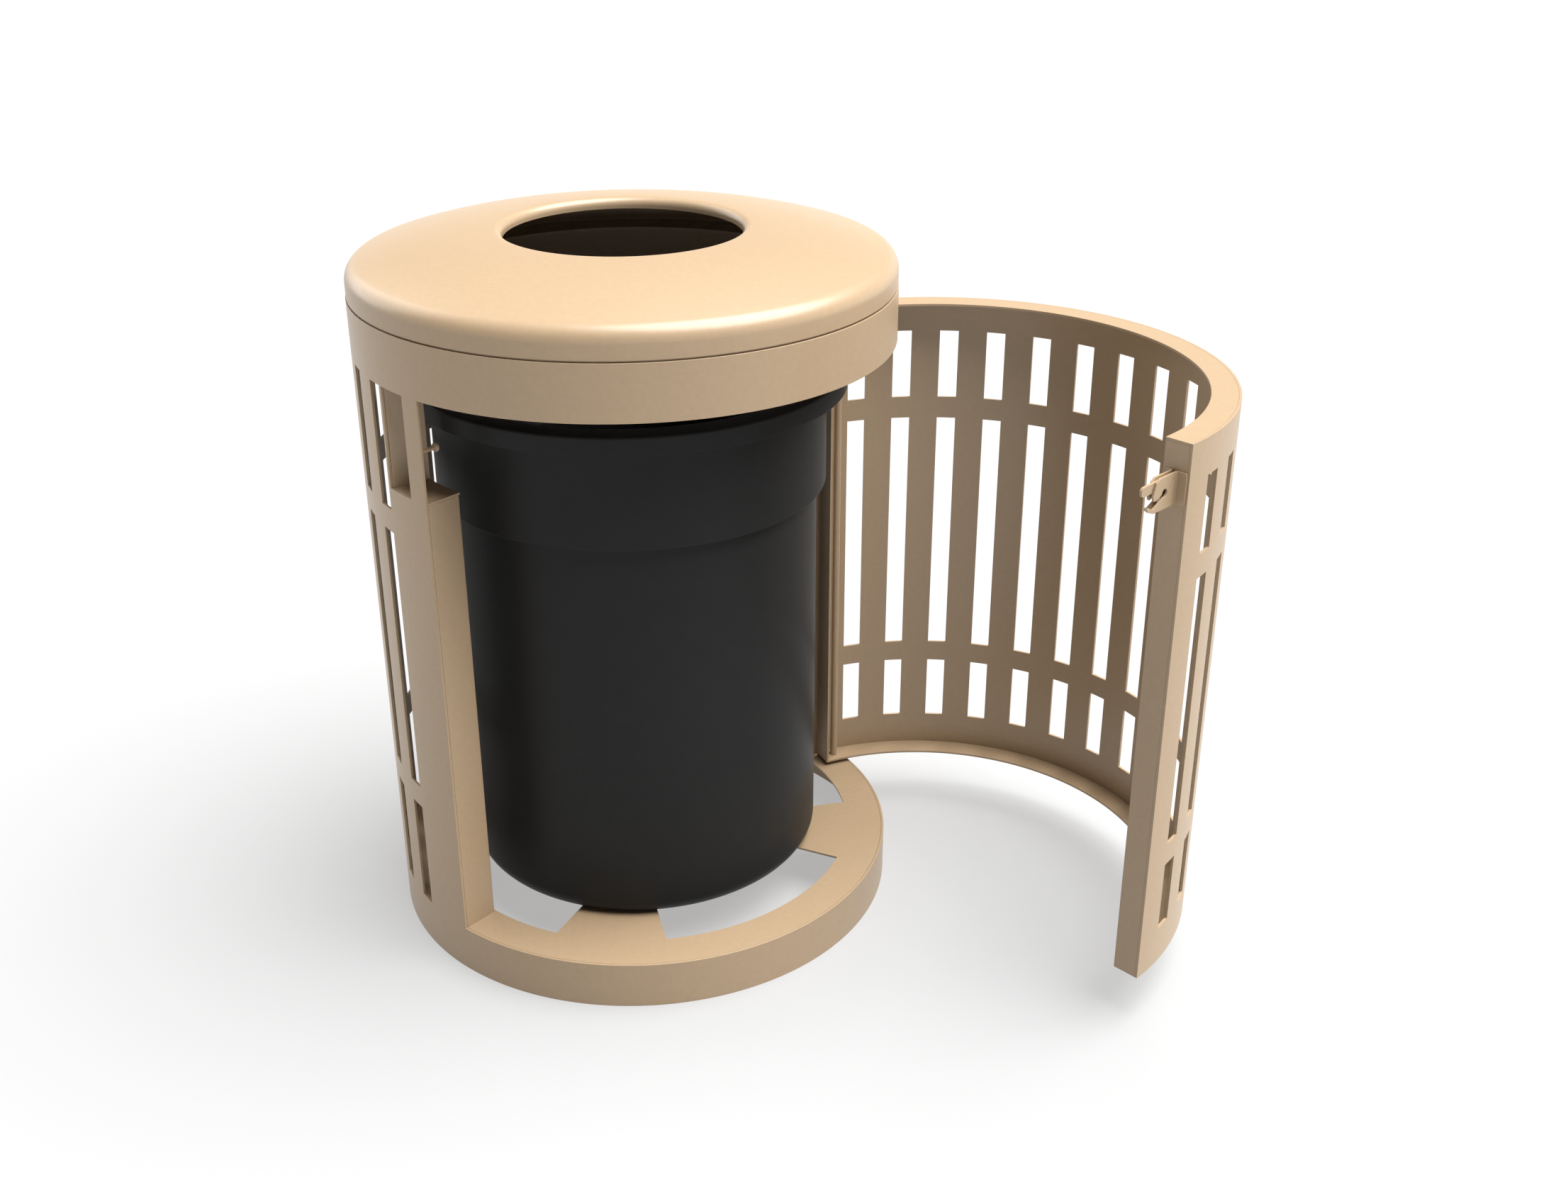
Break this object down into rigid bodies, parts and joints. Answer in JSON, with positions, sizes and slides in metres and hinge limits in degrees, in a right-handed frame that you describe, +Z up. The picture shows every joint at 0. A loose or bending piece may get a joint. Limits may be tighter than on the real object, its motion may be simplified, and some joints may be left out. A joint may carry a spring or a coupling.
{
  "type": "outdoor trash receptacle",
  "caption": "Round slotted-steel outdoor trash receptacle with a domed lid, a swinging curved door on a pivot rod, a gravity latch and a loose plastic liner.",
  "frame": {"origin": "on the floor, on the axis of the round cabinet, in the plane of the base band's lower edge", "axes": "+Z up along the cabinet's axis, -Y towards the viewer of the picture, +X towards the hinge side"},
  "size_m": [1.0824, 0.8067, 0.9381],
  "materials": {
    "sand_powder_coat": "semi-gloss",
    "zinc_steel": "satin",
    "white_nylon": "matt",
    "black_polyethylene": "satin"
  },
  "bodies": {
    "cabinet": {"base_band": "sand_powder_coat", "cabinet_wall": "sand_powder_coat", "header_band": "sand_powder_coat", "base_plate": "sand_powder_coat", "header_foot_ring": "sand_powder_coat", "lid_seat_ring": "sand_powder_coat", "latch_column": "sand_powder_coat", "pocket_back_plate": "sand_powder_coat", "pocket_shelf": "sand_powder_coat", "hinge_jamb": "sand_powder_coat", "pivot_rod": "sand_powder_coat", "pivot_nuts": "zinc_steel", "rest_nut": "zinc_steel", "rest_washer": "white_nylon", "keeper_stud": "sand_powder_coat", "lid": "sand_powder_coat", "lid_collar": "sand_powder_coat", "lid_tabs": "sand_powder_coat", "lid_bolts": "zinc_steel", "lid_nuts": "zinc_steel"},
    "door": {"door_skin": "sand_powder_coat", "door_top_flange": "sand_powder_coat", "door_bottom_flange": "sand_powder_coat", "door_latch_plate": "sand_powder_coat", "door_hinge_plate": "sand_powder_coat", "latch_bracket_outer": "sand_powder_coat", "latch_bracket_inner": "sand_powder_coat", "latch_pin": "sand_powder_coat"},
    "lever": {"latch_lever": "sand_powder_coat"},
    "liner": {"liner": "black_polyethylene"}
  },
  "joints": [
    {"name": "door_swing", "type": "hinge", "parent": "cabinet", "child": "door", "pos_m": [0.29236, 0.14558, 0.43], "axis": [0, 0, 1], "range_deg": [-81, 27]},
    {"name": "lever_lift", "type": "hinge", "parent": "door", "child": "lever", "pos_m": [0.59018, -0.42447, 0.742], "axis": [-0.6354, 0.7722, 0], "range_deg": [0, 30]},
    {"name": "liner_lift", "type": "slide", "parent": "cabinet", "child": "liner", "axis": [0, 0, 1], "range_m": [0, 0.035]}
  ]
}
